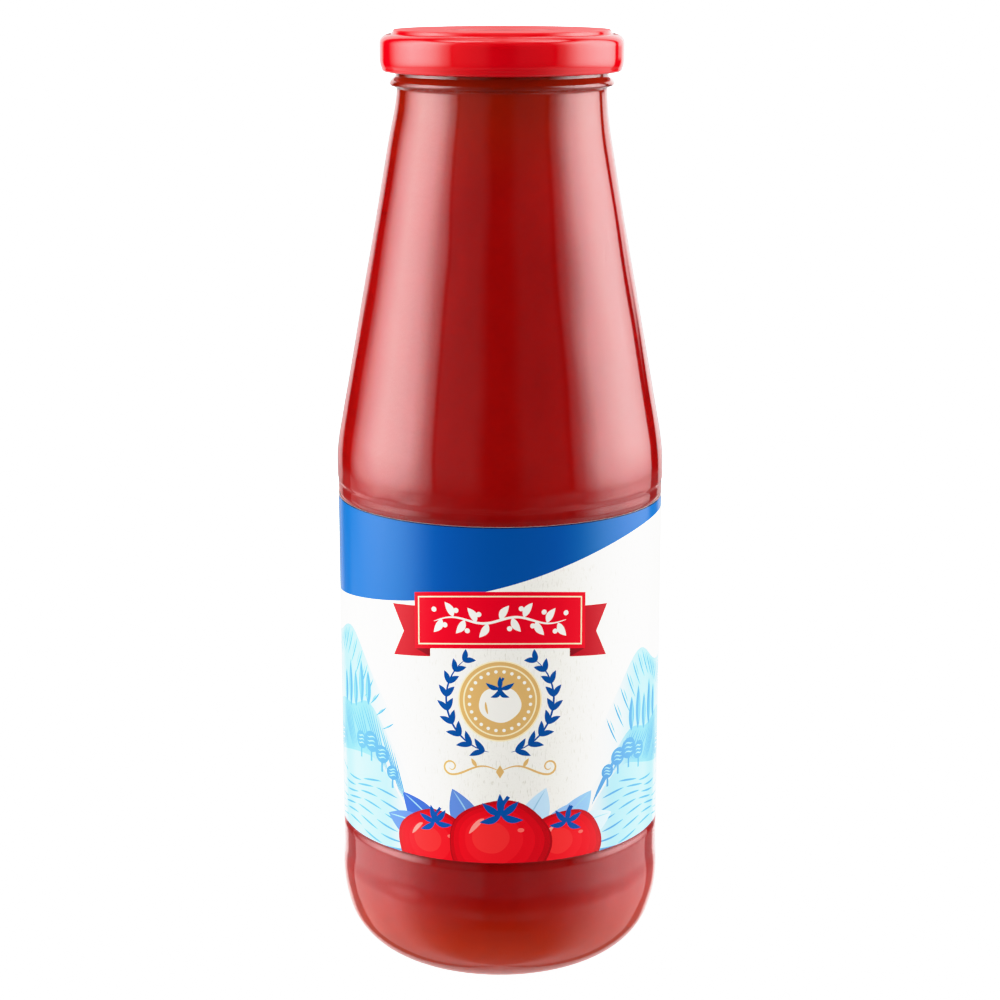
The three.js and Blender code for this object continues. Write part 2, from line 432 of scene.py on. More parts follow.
def lid_profile():
    pts = [(0.0, 222.15), (8.0, 222.15), (11.5, 222.38), (24.0, 222.38)]
    pts += [(25.3, 221.4), (26.6, 221.0), (27.2, 220.5), (27.4, 219.6)]
    pts += line(27.4, 219.6, 27.4, LID_LOW_Z + 2.6, 1.2)
    pts += [(27.1, LID_LOW_Z + 2.1), (26.5, LID_LOW_Z + 1.7), (26.2, LID_LOW_Z + 1.25)]
    pts += arc(LID_R - CURL, LID_LOW_Z + CURL, CURL, CURL, math.pi, 2 * math.pi, 16)
    pts += [(28.0, 214.9), (28.12, 215.2), (28.22, 215.6), (28.3, 216.2), (28.34, 216.9)]
    pts += line(28.34, 216.9, 28.36, 220.3, 0.8)
    pts += [(28.33, 220.65), (28.25, 220.98), (28.1, 221.3), (27.85, 221.62), (27.5, 221.92), (27.1, 222.17)]
    pts += [(26.8, 222.3), (26.5, 222.37), (26.2, 222.37), (25.98, 222.3), (25.84, 222.26), (25.72, 222.3)]
    pts += line(25.64, 222.4, 25.18, 223.22, 0.16)
    pts += [(25.12, 223.31), (25.04, 223.37), (24.92, 223.4)]
    pts += line(24.92, 223.4, 13.4, 223.4, 2.0)[1:]
    pts += eased(13.4, 223.4, 10.4, 222.95, 7)
    pts += [(7.0, 222.95), (3.5, 222.97), (0.0, 222.98)]
    return pts


def lid_move(r, z, a, i):
    """Six lugs, where the curl is pressed flat and reaches inwards."""
    if z > LID_LOW_Z + 1.2 or r > LID_R - CURL * 1.2:
        dr = 0.02 * noise.noise(Vector((math.cos(a) * 2.2, math.sin(a) * 2.2, z * 0.2)))
        return (dr if r > 25 else 0.0), 0.0
    phase = ((a + 0.42) * 6 / TAU) % 1.0
    lug = smooth(0.30, 0.36, phase) * (1 - smooth(0.64, 0.70, phase))
    return -0.62 * lug * smooth(LID_R - CURL * 1.2, LID_R - CURL * 1.7, r), 0.0


lid = lathe("twist_lid", lid_profile(), 288, lid_move)

m = Nodes("red_enamel")
coord = m.add("ShaderNodeTexCoord").outputs["Object"]
peel = m.noise(coord, 1500.0, 2.0, 0.5)
cloud = m.noise(coord, 60.0, 2.0, 0.5)
paint = m.ramp(cloud, [(0.35, (0.60, 0.0003, 0.0040)), (0.65, (0.655, 0.0006, 0.0070))])
lid_z = m.add("ShaderNodeSeparateXYZ")
m.link(coord, lid_z.inputs[0])
# the flat top is painted lighter red than the skirt: painted light, for the light that falls on the top from above
on_top = m.ramp(m.math("MULTIPLY_ADD", lid_z.outputs["Z"], 1 / 0.0006, -0.2228 / 0.0006), [(0.0, 0.0), (1.0, 1.0)])
paint = m.mix(on_top, paint, (0.80, 0.0006, 0.0070))
bsdf = m.principled(Roughness=0.16, Specular_IOR_Level=0.5, Coat_Weight=0.0)
m.link(paint, bsdf.inputs["Base Color"])
# the flat top is less glossy than the skirt
gloss = m.ramp(cloud, [(0.3, 0.055), (0.7, 0.085)])
m.link(m.math("ADD", gloss, m.math("MULTIPLY", on_top, 0.26)), bsdf.inputs["Roughness"])
m.link(m.bump(peel, 0.08, 0.00005), bsdf.inputs["Normal"])
lid.data.materials.append(m.owner)

# --------------------------------------------------------------------- label
LABEL_R, LABEL_IN_R = 38.90, 38.70
LABEL_LOW, LABEL_HIGH = 34.0, 114.6
HALF = LABEL_R * math.radians(173.08)  # half of the label's length

CREAM = srgb(241, 239, 232)
WHITE = srgb(249, 250, 250)
BLUE = srgb(0, 80, 166)
# a lighter blue for the label's sides: painted light from the side lamps
PAINTED_SIDE_LIGHT_BLUE = srgb(0, 103, 171)
NAVY = srgb(0, 78, 160)
RED = srgb(226, 0, 34)
DARK_RED = srgb(186, 8, 30)
GOLD = srgb(218, 182, 112)
PALE_GOLD = srgb(244, 230, 196)
SKY = srgb(84, 150, 198)
SKY_MID = srgb(122, 178, 210)
SKY_PALE = srgb(156, 200, 223)

shapes = []  # (points, colour, how much paper grain shows), later ones on top


def draw(points, colour, grain=0.0):
    shapes.append((points, colour, grain))


def ellipse(cs, cz, rs, rz, n=40, start=0.0):
    return [
        (cs + rs * math.cos(start + TAU * i / n), cz + rz * math.sin(start + TAU * i / n)) for i in range(n)
    ]


def stroke(points, width, taper=True):
    """A brush line along the points, thin at its ends where taper is set."""
    left, right = [], []
    n = len(points) - 1
    for i, (s, z) in enumerate(points):
        a, b = points[max(0, i - 1)], points[min(n, i + 1)]
        ds, dz = b[0] - a[0], b[1] - a[1]
        k = math.hypot(ds, dz) or 1.0
        w = width / 2
        if taper:
            w *= 0.18 + 0.82 * math.sin(math.pi * min(1.0, max(0.0, i / n))) ** 0.7
        left.append((s - dz / k * w, z + ds / k * w))
        right.append((s + dz / k * w, z - ds / k * w))
    return left + right[::-1]


def leaf(s, z, length, width, angle, bend=0.0, n=9):
    """A pointed leaf from (s, z) along angle."""
    up, down = [], []
    for i in range(n + 1):
        t = i / n
        w = width / 2 * math.sin(math.pi * t ** 0.85) ** 0.9 if 0 < t < 1 else 0.0
        c = bend * length * math.sin(math.pi * t)
        up.append((t * length, c + w))
        down.append((t * length, c - w))
    ca, sa = math.cos(angle), math.sin(angle)
    loop = up + down[::-1][1:-1]
    return [(s + u * ca - v * sa, z + u * sa + v * ca) for u, v in loop]


def wave(f, s0, s1, step):
    n = max(1, int(round((s1 - s0) / step)))
    return [(lerp(s0, s1, i / n), f(lerp(s0, s1, i / n))) for i in range(n + 1)]


# ground and the blue field above its curved edge
draw([(-HALF, LABEL_LOW), (HALF, LABEL_LOW), (HALF, LABEL_HIGH), (-HALF, LABEL_HIGH)], CREAM, 1.0)


def blue_edge(s):
    t = max(-1.0, min(1.0, s / 61.0))
    return 101.2 + 10.2 * math.sin(t * math.pi / 2) - 0.8 * math.cos(t * math.pi * 1.5)


def blue_field(s, z):
    """The blue turns lighter from the middle towards the sides: painted light, for the side lamps that light and gloss
    the label's sides more than its middle.
    """
    k = smooth(12.0, 27.0, abs(s))
    return tuple(lerp(a, b, k) for a, b in zip(BLUE, PAINTED_SIDE_LIGHT_BLUE))


draw(wave(blue_edge, -HALF - 2, HALF + 2, 2.0) + [(HALF + 2, 120), (-HALF - 2, 120)], blue_field)
# a thin dark strip along the label's top edge: painted shadow of the step between the label and the glass collar
draw([(-HALF - 2, LABEL_HIGH - 0.28), (HALF + 2, LABEL_HIGH - 0.28), (HALF + 2, 121), (-HALF - 2, 121)], srgb(14, 26, 70))


# hills at both sides, in pale tints with engraved lines
def hills(side, seed):
    def at(s):
        return side * s

    def far(s):
        return 79 + 5.0 * math.sin((s - 30) * 0.075 + seed) + 1.4 * math.sin(s * 0.31 + seed)

    def mid(s):
        return 66 + 4.5 * math.sin((s - 22) * 0.06 + 1.3 + seed) + 0.8 * math.sin(s * 0.4)

    def near(s):
        return 52 + 3.2 * math.sin((s - 20) * 0.09 + 0.6 * seed)

    def rising(f, start, width):
        """The hill's back, which climbs from the label's lower edge."""

        def g(s):
            t = min(1.0, max(0.0, (s - start) / width))
            return lerp(33.0, f(s), math.sin(t * math.pi / 2))

        return g

    def paling(colour, s0, s1):
        """Fades into the paper towards the middle of the label."""

        def g(s, z):
            k = smooth(s0, s1, abs(s))
            return tuple(lerp(a, b, k) for a, b in zip(CREAM, colour))

        return g

    def ordered(points):
        return points if side > 0 else points[::-1]

    far_top, mid_top, near_top = rising(far, 11.0, 33.0), rising(mid, 13.0, 27.0), rising(near, 15.0, 21.0)
    for g, start, colour, s0, s1 in (
        (far_top, 11.0, SKY_PALE, 21.0, 40.0),
        (mid_top, 13.0, SKY_MID, 19.0, 38.0),
        (near_top, 15.0, SKY_PALE, 17.0, 30.0),
    ):
        top = [(at(s), z) for s, z in wave(g, start, HALF + 1, 1.6)]
        draw(ordered(top + [(at(HALF + 1), 32.9)]), paling(colour, s0, s1), 0.35)
    # slopes of the far hill
    for k in range(40):
        s = 27 + k * 2.3
        if s > HALF - 2:
            break
        z = far_top(s) - 0.8
        deep = min(6.8, z - mid_top(s + 2.0) - 1.0)
        if deep > 1.5:
            pts = [(at(s + 2.6 * t + 1.0 * t * t), z - deep * t) for t in (0, 0.25, 0.5, 0.75, 1.0)]
            draw(ordered(stroke(pts, 0.46)), SKY)
            pts = [(at(s + 1.1 + 1.8 * t), z - 0.6 - deep * 0.55 * t) for t in (0, 0.33, 0.67, 1.0)]
            draw(ordered(stroke(pts, 0.36)), SKY_MID)
    # ploughed rows on the middle hill
    for k in range(15):
        s0 = 27 + k * 6.2
        if s0 > HALF - 4:
            break
        for q in range(5):
            pts = []
            for i in range(9):
                t = i / 8
                s = s0 + q * 1.3 - 4.2 * t * (1 + 0.16 * q)
                pts.append((at(s), mid_top(s) - 1.1 - (mid_top(s) - near_top(s) - 1.8) * t))
            draw(ordered(stroke(pts, 0.42)), SKY)
    # near rows run along the slope
    for q in range(7):
        z_low = 35.4 + q * 2.2
        n = 0
        for s0 in np.arange(23.0 + 1.5 * (q % 3), HALF - 3, 8.4):
            pts = [
                (at(s0 + i * 1.2), z_low + 1.4 * math.sin((s0 + i * 1.2) * 0.16 + 0.5 * q + n)) for i in range(7)
            ]
            if all(z < near_top(abs(s)) - 0.9 for s, z in pts):
                draw(ordered(stroke(pts, 0.5)), SKY)
            n += 0.35
    # trees: slender ones on the ridge, round ones in a row below
    for s, tall in ((36, 8.6), (39, 11.0), (42, 9.2), (45, 11.8), (48.2, 8.4), (70.5, 10.5), (74, 8.4), (97, 9.4)):
        base = mid_top(s) - 0.8
        draw(ordered([(at(a), b) for a, b in leaf(s, base, tall, 2.2, math.pi / 2)]), SKY)
        draw(ordered([(at(a), b) for a, b in leaf(s + 0.45, base + 1.2, tall * 0.7, 0.7, math.pi / 2)]), SKY_MID)
    for s, r in ((27.5, 1.9), (31.0, 2.4), (35.0, 2.8), (39.4, 2.4), (52.5, 2.9), (57.5, 3.4), (63.0, 2.6), (83, 3.2), (89, 2.7), (105, 3.0)):
        base = near_top(s) + 0.3
        draw(ordered(stroke([(at(s), base - 1.5), (at(s), base + r)], 0.6, False)), SKY)
        draw(ordered([(at(a), b) for a, b in ellipse(s, base + r * 1.2, r, r * 0.92, 18)]), SKY)
        for q in range(3):
            pts = [(at(s - r * 0.55 + i * r * 0.28), base + r * (0.85 + 0.38 * q) + 0.25 * math.sin(i * 1.4)) for i in range(5)]
            draw(ordered(stroke(pts, 0.32)), SKY_PALE)


hills(-1, 0.4)
hills(1, 2.1)

# red ribbon with a pale leafy vine
RIB_S, RIB_LOW, RIB_HIGH = 20.5, 86.2, 99.6


def bow(s, z):
    return z - 1.5 * (s / RIB_S) ** 2


for side in (-1, 1):
    tail = [
        (side * 16.5, RIB_LOW - 2.9),
        (side * 26.6, RIB_LOW - 4.0),
        (side * 23.6, RIB_LOW + 2.2),
        (side * 26.8, RIB_LOW + 8.3),
        (side * 16.5, RIB_LOW + 9.0),
    ]
    draw(tail if side > 0 else tail[::-1], DARK_RED)
    fold = [(side * 16.5, RIB_LOW - 2.9), (side * 20.5, RIB_LOW - 1.4), (side * 16.5, RIB_LOW - 0.2)]
    draw(fold if side > 0 else fold[::-1], srgb(140, 4, 24))


def band(s_max, low, high):
    bottom = [(s, bow(s, low)) for s in np.linspace(-s_max, s_max, 27)]
    top_line = [(s, bow(s, high)) for s in np.linspace(s_max, -s_max, 27)]
    return bottom + top_line


draw(band(RIB_S, RIB_LOW, RIB_HIGH), RED)
draw(band(RIB_S - 0.9, RIB_LOW + 0.95, RIB_HIGH - 0.95), PALE_GOLD)
draw(band(RIB_S - 1.22, RIB_LOW + 1.27, RIB_HIGH - 1.27), RED)
stem = [(s, bow(s, 92.9) + 0.75 * math.sin(s * 0.42)) for s in np.linspace(-15.5, 15.5, 49)]
draw(stroke(stem, 0.62), CREAM)
for k in range(11):
    s = -13.5 + 2.7 * k
    z = bow(s, 92.9) + 0.75 * math.sin(s * 0.42)
    up = 1 if k % 2 else -1
    lean_dir = -1 if s < -0.5 else 1
    ang = math.radians(58) if lean_dir > 0 else math.radians(122)
    draw(leaf(s, z + 0.15 * up, 3.9, 1.75, ang * up, 0.07 * lean_dir * up), CREAM)
    end_s = s + 2.9 * math.cos(math.radians(40)) * lean_dir
    draw(ellipse(end_s * 0.985, z - up * 2.0, 0.62, 0.62, 14), CREAM)

# gold seal with a fruit, inside a laurel
SEAL = (0.0, 73.6)
draw(ellipse(*SEAL, 9.75, 9.75, 72), PALE_GOLD)
draw(ellipse(*SEAL, 9.4, 9.4, 72), GOLD)
draw(ellipse(*SEAL, 8.55, 8.55, 64), PALE_GOLD)
draw(ellipse(*SEAL, 8.2, 8.2, 64), GOLD)
for k in range(24):
    a = TAU * (k + 0.5) / 24
    draw(ellipse(SEAL[0] + 7.1 * math.cos(a), SEAL[1] + 7.1 * math.sin(a), 0.42, 0.42, 12), CREAM)
fruit = []
for i in range(56):
    a = TAU * i / 56
    r = 4.7 * (1 + 0.018 * math.cos(5 * a + 0.9)) * (1 - 0.07 * math.exp(-(((a - math.pi / 2) / 0.5) ** 2)))
    fruit.append((SEAL[0] + r * math.cos(a) * 1.04, SEAL[1] - 0.75 + r * math.sin(a) * 0.93))
draw(fruit, CREAM)
for k in range(5):
    a = math.pi / 2 + (k - 2) * 1.16
    draw(leaf(SEAL[0], SEAL[1] + 2.95, 3.6 if k in (1, 3) else 3.0, 1.15, a, 0.10 * (k - 2)), NAVY)
draw(ellipse(SEAL[0], SEAL[1] + 2.95, 0.7, 0.55, 14), NAVY)
draw(stroke([(0.0, SEAL[1] + 3.0), (0.15, SEAL[1] + 4.4), (0.8, SEAL[1] + 5.6)], 0.55, False), NAVY)
gleam = [(SEAL[0] - 3.3 + 0.5 * t * t, SEAL[1] - 0.2 - 2.9 * t) for t in np.linspace(0, 1, 8)]
draw(stroke(gleam, 0.55), GOLD)
for side in (-1, 1):
    pts = []
    for i in range(19):
        a = math.radians(-78 + 128 * i / 18)
        pts.append((side * 12.6 * math.cos(a), SEAL[1] + 12.6 * math.sin(a)))
    draw(stroke(pts if side > 0 else pts[::-1], 0.5), NAVY)
    for i in range(9):
        a = math.radians(-74 + 15.2 * i)
        cs, cz = side * 12.6 * math.cos(a), SEAL[1] + 12.6 * math.sin(a)
        along = a + math.pi / 2
        for out_in in (-1, 1):
            ang = along + out_in * -0.62
            if side < 0:
                ang = math.pi - ang
            size = 3.9 - 0.11 * i
            draw(leaf(cs, cz, size, 1.35, ang, 0.06 * out_in * side), NAVY)

# thin gold scroll
for side in (-1, 1):
    pts = []
    for i in range(40):
        t = i / 39
        if t < 0.55:
            u = t / 0.55
            pts.append((side * 11.5 * u, 56.6 + 1.25 * math.sin(u * math.pi * 1.5)))
        else:
            u = (t - 0.55) / 0.45
            r = 1.9 * (1 - 0.72 * u)
            a = -math.pi / 2 + u * math.pi * 2.3
            pts.append((side * (11.5 + r * math.cos(a)), 57.25 + r * math.sin(a)))
    draw(stroke(pts if side > 0 else pts[::-1], 0.5), GOLD)
    draw(leaf(side * 5.4, 57.6, 2.4, 0.9, math.radians(58 if side > 0 else 122)), GOLD)
draw([(0, 54.9), (0.95, 56.5), (0, 58.1), (-0.95, 56.5)], GOLD)

# ripe fruit on blue leaves, cut by the label's lower edge
LEAF_TONES = (srgb(58, 104, 190), srgb(96, 138, 208), srgb(150, 190, 232), srgb(196, 222, 245))
for k, (ang, ln, s) in enumerate(
    ((158, 15, -9), (142, 13, -14), (28, 15, 9), (42, 13, 13), (120, 12.5, -5), (62, 12.5, 5), (172, 12, -17), (9, 12, 17))
):
    a = math.radians(ang)
    tone = LEAF_TONES[(0 if s < 0 else 2) + (k // 4) % 2]
    draw(leaf(s, 41.0, ln, 6.6, a, 0.05 if s < 0 else -0.05, 14), tone)
    mid_line = [(s + t * ln * 0.94 * math.cos(a), 41.0 + t * ln * 0.94 * math.sin(a) + 0.05 * ln * math.sin(math.pi * t)) for t in np.linspace(0.2, 1, 9)]
    draw(stroke(mid_line, 0.34), SKY_PALE)


def tomato(cs, cz, r, tilt):
    steps = (
        (1.0, srgb(176, 2, 16)),
        (0.965, srgb(196, 0, 18)),
        (0.88, srgb(216, 0, 22)),
        (0.74, srgb(228, 4, 26)),
        (0.56, srgb(236, 20, 34)),
        (0.36, srgb(242, 44, 46)),
    )
    for k, (f, colour) in enumerate(steps):
        shift = (1 - f) * 0.42 * r
        pts = []
        for i in range(56):
            a = TAU * i / 56
            rr = r * f * (1 + 0.022 * math.cos(5 * (a - tilt)) * f)
            pts.append((cs - shift * 0.7 + rr * 1.05 * math.cos(a), cz + shift * 0.55 + rr * 0.94 * math.sin(a)))
        draw(pts, colour)
    shine = [(cs - r * 0.62 + 0.30 * r * t, cz + r * 0.22 + r * 0.34 * math.sin(t * 1.25)) for t in np.linspace(0, 1, 8)]
    draw(stroke(shine, r * 0.10), srgb(250, 150, 140))
    draw(ellipse(cs + r * 0.42, cz + r * 0.30, r * 0.07, r * 0.045, 12), srgb(248, 110, 100))
    for k in range(5):
        a = math.pi / 2 + tilt + (k - 2) * 1.18
        draw(leaf(cs + 0.02 * r, cz + r * 0.62, r * 0.46, r * 0.15, a - 0.25 * (k - 2), 0.08 * (k - 2) / 2), BLUE)
    draw(stroke([(cs, cz + r * 0.62), (cs + r * 0.06, cz + r * 0.86), (cs + r * 0.17, cz + r * 1.02)], r * 0.075, False), BLUE)


tomato(-15.8, 37.2, 9.4, 0.25)
tomato(15.8, 37.2, 9.4, -0.2)
tomato(0.0, 38.6, 11.6, 0.05)

# plain framed panels on the back
for side in (-1, 1):
    s0, s1 = sorted((side * 73.0, side * 109.0))
    for inset, colour in ((0.0, GOLD), (0.55, CREAM), (1.15, NAVY), (1.4, CREAM)):
        draw(
            [(s0 + inset, 50 + inset), (s1 - inset, 50 + inset), (s1 - inset, 92 - inset), (s0 + inset, 92 - inset)],
            colour,
            1.0 if colour == CREAM else 0.0,
        )
    mid_s = (s0 + s1) / 2
    for ds, dz in ((-13, 16.5), (13, 16.5), (-13, -16.5), (13, -16.5)):
        draw([(mid_s + ds, 71 + dz - 1.2), (mid_s + ds + 1.0, 71 + dz), (mid_s + ds, 71 + dz + 1.2), (mid_s + ds - 1.0, 71 + dz)], GOLD)
    for a in range(6):
        ang = TAU * a / 6 + math.pi / 6
        draw(leaf(mid_s, 71.0, 8.2, 3.2, ang), SKY_MID)
    draw(ellipse(mid_s, 71.0, 1.6, 1.6, 20), SKY)

# one flat triangulation of all shapes, which is then bent round the body
points, edges, loops = [], [], []
for pts, colour, grain_amount in shapes:
    turned = sum(a[0] * b[1] - b[0] * a[1] for a, b in zip(pts, pts[1:] + pts[:1]))
    if turned < 0:
        pts = pts[::-1]
    start = len(points)
    points += [Vector((float(s), float(z))) for s, z in pts]
    loops.append(list(range(start, start + len(pts))))
columns = 132
for i in range(1, columns):
    s = -HALF + 2 * HALF * i / columns
    edges.append((len(points), len(points) + 1))
    points += [Vector((s, LABEL_LOW)), Vector((s, LABEL_HIGH))]
for z in np.arange(44.0, 114.0, 10.0):
    edges.append((len(points), len(points) + 1))
    points += [Vector((-HALF, float(z))), Vector((HALF, float(z)))]
flat, _, tris, _, _, sources = delaunay_2d_cdt(points, edges, loops, 0, 5e-4)
kept, owner = [], []
for tri, src in zip(tris, sources):
    if 0 not in src:
        continue
    (ax, az), (bx, bz), (cx, cz) = (flat[k] for k in tri)
    area = (bx - ax) * (cz - az) - (cx - ax) * (bz - az)
    if abs(area) < 1e-9:
        continue
    kept.append(tuple(tri) if area > 0 else tuple(tri[::-1]))
    owner.append(max(src))
used = sorted({k for tri in kept for k in tri})
place = {k: n for n, k in enumerate(used)}
kept = [tuple(place[k] for k in tri) for tri in kept]
flat = [flat[k] for k in used]
count = len(flat)


def bent(s, z, r):
    a = s / LABEL_R
    lift = 0.018 * noise.noise(Vector((s * 0.06, z * 0.05, 1.7)))
    rr = (r + lift) * MM
    return (rr * math.sin(a), -rr * math.cos(a), z * MM)


verts = [bent(v[0], v[1], LABEL_R) for v in flat] + [bent(v[0], v[1], LABEL_IN_R) for v in flat]
border = {}
for a, b, c in kept:
    for e in ((a, b), (b, c), (c, a)):
        border[e] = border.get(e, 0) + 1
rim = [e for e in border if (e[1], e[0]) not in border]
faces = list(kept)
faces += [(a + count, c + count, b + count) for a, b, c in kept]
faces += [(b, a, a + count, b + count) for a, b in rim]
me = bpy.data.meshes.new("paper_label")
me.from_pydata(verts, [], faces)
ink = me.attributes.new("ink", "FLOAT_COLOR", "CORNER")
paper = me.attributes.new("on_paper", "FLOAT_VECTOR", "POINT")
n_out = len(kept)
colours = []
edge_colour = (*srgb(236, 236, 232), 0.0)
for n, face in enumerate(faces):
    if n < n_out:
        _, colour, grain_amount = shapes[owner[n]]
        for k in face:
            mixed_ink = colour(flat[k][0], flat[k][1]) if callable(colour) else colour
            colours.append((*mixed_ink, grain_amount))
    else:
        colours += [edge_colour] * len(face)
ink.data.foreach_set("color", np.array(colours, dtype=np.float32).ravel())
flat_place = np.array([(v[0], v[1], 0.0) for v in flat] * 2, dtype=np.float32)
paper.data.foreach_set("vector", flat_place.ravel())
smooth_faces = np.array([1 if n < 2 * n_out else 0 for n in range(len(faces))], dtype=bool)
me.polygons.foreach_set("use_smooth", smooth_faces)
border_pairs = {tuple(sorted(e)) for e in rim} | {tuple(sorted((a + count, b + count))) for a, b in rim}
sharp = me.attributes.new("sharp_edge", "BOOLEAN", "EDGE")
sharp.data.foreach_set("value", np.array([tuple(sorted(e.vertices)) in border_pairs for e in me.edges], dtype=bool))
label = bpy.data.objects.new("paper_label", me)
bpy.context.scene.collection.objects.link(label)

m = Nodes("printed_paper")
ink_node = m.add("ShaderNodeAttribute", attribute_name="ink")
spot = m.add("ShaderNodeAttribute", attribute_name="on_paper").outputs["Vector"]
threads = m.noise(m.scaled(spot, 2.6, 0.42, 1), 1.0, 2.0, 0.55)
more = m.noise(m.scaled(spot, 5.5, 0.9, 1), 1.0, 1.0, 0.5)
cross = m.noise(m.scaled(spot, 0.8, 3.4, 1), 1.0, 2.0, 0.5)
dark = m.ramp(threads, [(0.60, 0.0), (0.68, 1.0)])
dark_b = m.ramp(more, [(0.64, 0.0), (0.72, 0.8)])
light_x = m.ramp(cross, [(0.63, 0.0), (0.72, 0.5)])
mask = m.math("MULTIPLY", m.math("MAXIMUM", m.math("MAXIMUM", dark, dark_b), light_x), ink_node.outputs["Alpha"])
mask = m.math("MULTIPLY", mask, 0.34)
toned = m.mix(mask, ink_node.outputs["Color"], srgb(176, 172, 158))
dots = m.noise(spot, 9.0, 1.0, 0.5)
press = m.ramp(dots, [(0.3, 0.955), (0.7, 1.0)])
printed = m.mix(1.0, toned, press, "MULTIPLY")
bsdf = m.principled(Roughness=0.15, Specular_IOR_Level=0.21)
m.link(printed, bsdf.inputs["Base Color"])
felt = m.noise(m.scaled(spot, 1.6, 0.8, 1), 1.3, 3.0, 0.6)
m.link(m.ramp(felt, [(0.3, 0.12), (0.7, 0.18)]), bsdf.inputs["Roughness"])
m.link(m.bump(felt, 0.12, 0.00006), bsdf.inputs["Normal"])
me.materials.append(m.owner)

# --------------------------------------------------------------------- floor
ring_n = 96
verts, faces = [(0.0, 0.0, 0.0)], []
radii = [0.02, 0.06, 0.12, 0.25, 0.5, 1.0, 3.0, 10.0, 40.0]
for r in radii:
    for j in range(ring_n):
        a = TAU * j / ring_n
        verts.append((r * math.cos(a), r * math.sin(a), 0.0))
for j in range(ring_n):
    faces.append((0, 1 + j, 1 + (j + 1) % ring_n))
for i in range(len(radii) - 1):
    a0, b0 = 1 + i * ring_n, 1 + (i + 1) * ring_n
    for j in range(ring_n):
        k = (j + 1) % ring_n
        faces.append((a0 + j, b0 + j, b0 + k, a0 + k))
floor = put("floor", verts, faces)
floor.location.z = -0.0002
m = Nodes("pale_floor")
coord = m.add("ShaderNodeTexCoord").outputs["Object"]
grain = m.noise(coord, 40.0, 2.0, 0.5)
tone = m.ramp(grain, [(0.3, (0.90, 0.90, 0.90)), (0.7, (0.93, 0.93, 0.93))])
bsdf = m.principled(Roughness=0.7, Specular_IOR_Level=0.1, Emission_Color=(1, 1, 1, 1), Emission_Strength=1.5)
m.link(tone, bsdf.inputs["Base Color"])
floor.data.materials.append(m.owner)
# The bottle mirrors the studio's own table, which is part of the world below.
floor.visible_diffuse = False
floor.visible_glossy = False
floor.visible_transmission = False
floor.visible_shadow = False

# -------------------------------------------------------------------- studio
# Two tall soft lamps at the sides, a pale back wall and a soft top light, as a
# function of the direction. Strengths are linear, and 1 is a white wall.
w = Nodes("studio", bpy.data.worlds.new("studio"))
bpy.context.scene.world = w.owner
view = w.add("ShaderNodeTexCoord").outputs["Generated"]
xyz = w.add("ShaderNodeSeparateXYZ")
w.link(view, xyz.inputs[0])
azimuth = w.math("ARCTAN2", xyz.outputs["X"], w.math("MULTIPLY", xyz.outputs["Y"], -1.0))
turn = w.math("MULTIPLY_ADD", azimuth, 1 / TAU, 0.5)
PEAK = 8.0
LAMPS = [
    (-180, 0.45), (-171, 1.2), (-153, 1.3), (-145, 0.0), (-131, 0.0), (-124, 0.8),
    (-108, 4.2), (-93, 7.2), (-80, 7.3), (-69, 6.2), (-62, 4.4), (-56, 2.35), (-50, 1.1), (-47, 0.0), (-45, 0.26),
    (-18, 0.2), (-9, 0.0), (8, 0.0), (18, 0.1), (46, 0.1), (51, 0.0), (53, 0.3), (60, 0.9), (69, 3.05), (77, 5.2),
    (90, 6.6), (102, 6.6), (117, 5.0), (131, 2.4), (132.5, 0.0),
]
HIND = [(132, 0.0), (139, 0.0), (141, 1.75), (160, 1.7), (171, 1.4), (180, 0.45)]
ring_light = w.ramp(turn, [((a + 180) / 360, v / PEAK) for a, v in LAMPS])
hind_light = w.ramp(turn, [((a + 180) / 360, v / PEAK) for a, v in HIND])
ring_light = w.math("ADD", ring_light, hind_light)
rise = w.math("MULTIPLY", w.math("ARCSINE", xyz.outputs["Z"]), 180 / math.pi)
rise01 = w.math("MULTIPLY_ADD", rise, 1 / 180, 0.5)
low_fade = w.ramp(
    rise01,
    [((e + 90) / 180, v) for e, v in ((-24, 0.0), (-17, 0.2), (-12, 0.55), (-7.5, 0.76), (-2.5, 0.9), (1, 1.0), (40, 1.0), (52, 0.0))],
)
TABLE = [
    (-180, 1.7), (-160, 1.5), (-140, 1.2), (-110, 1.7), (-90, 2.0), (-75, 1.6), (-60, 0.8), (-45, 0.38), (-30, 0.18), (-12, 0.04),
    (12, 0.04), (30, 0.18), (45, 0.38), (60, 0.8), (75, 1.6), (90, 2.0), (110, 1.7), (140, 1.2), (160, 1.5), (180, 1.7),
]
table_light = w.ramp(turn, [((a + 180) / 360, v / PEAK) for a, v in TABLE])
table_fade = w.ramp(
    rise01, [((e + 90) / 180, v) for e, v in ((-90, 0.5), (-52, 0.52), (-40, 0.64), (-30, 0.82), (-21, 1.0), (-11, 0.0))]
)
table = w.math("MULTIPLY", w.math("MULTIPLY", table_light, table_fade), PEAK)
under = w.ramp(rise01, [((e + 90) / 180, v) for e, v in ((-90, 0.34), (-70, 0.26), (-48, 0.15), (-37, 0.13), (-33, 0.0))])
# the dark gap behind each lamp is wider below the horizon
gap_turn = w.ramp(
    w.math("MULTIPLY", w.math("ABSOLUTE", azimuth), 1 / math.pi),
    [(a / 180, v) for a, v in ((131, 0.0), (133.5, 1.0), (148.5, 1.0), (152, 0.0))],
)
gap_rise = w.ramp(rise01, [((e + 90) / 180, v) for e, v in ((-11, 1.0), (-4, 1.0), (-1.5, 0.0))])
gap = w.math("SUBTRACT", 1.0, w.math("MULTIPLY", gap_turn, gap_rise))
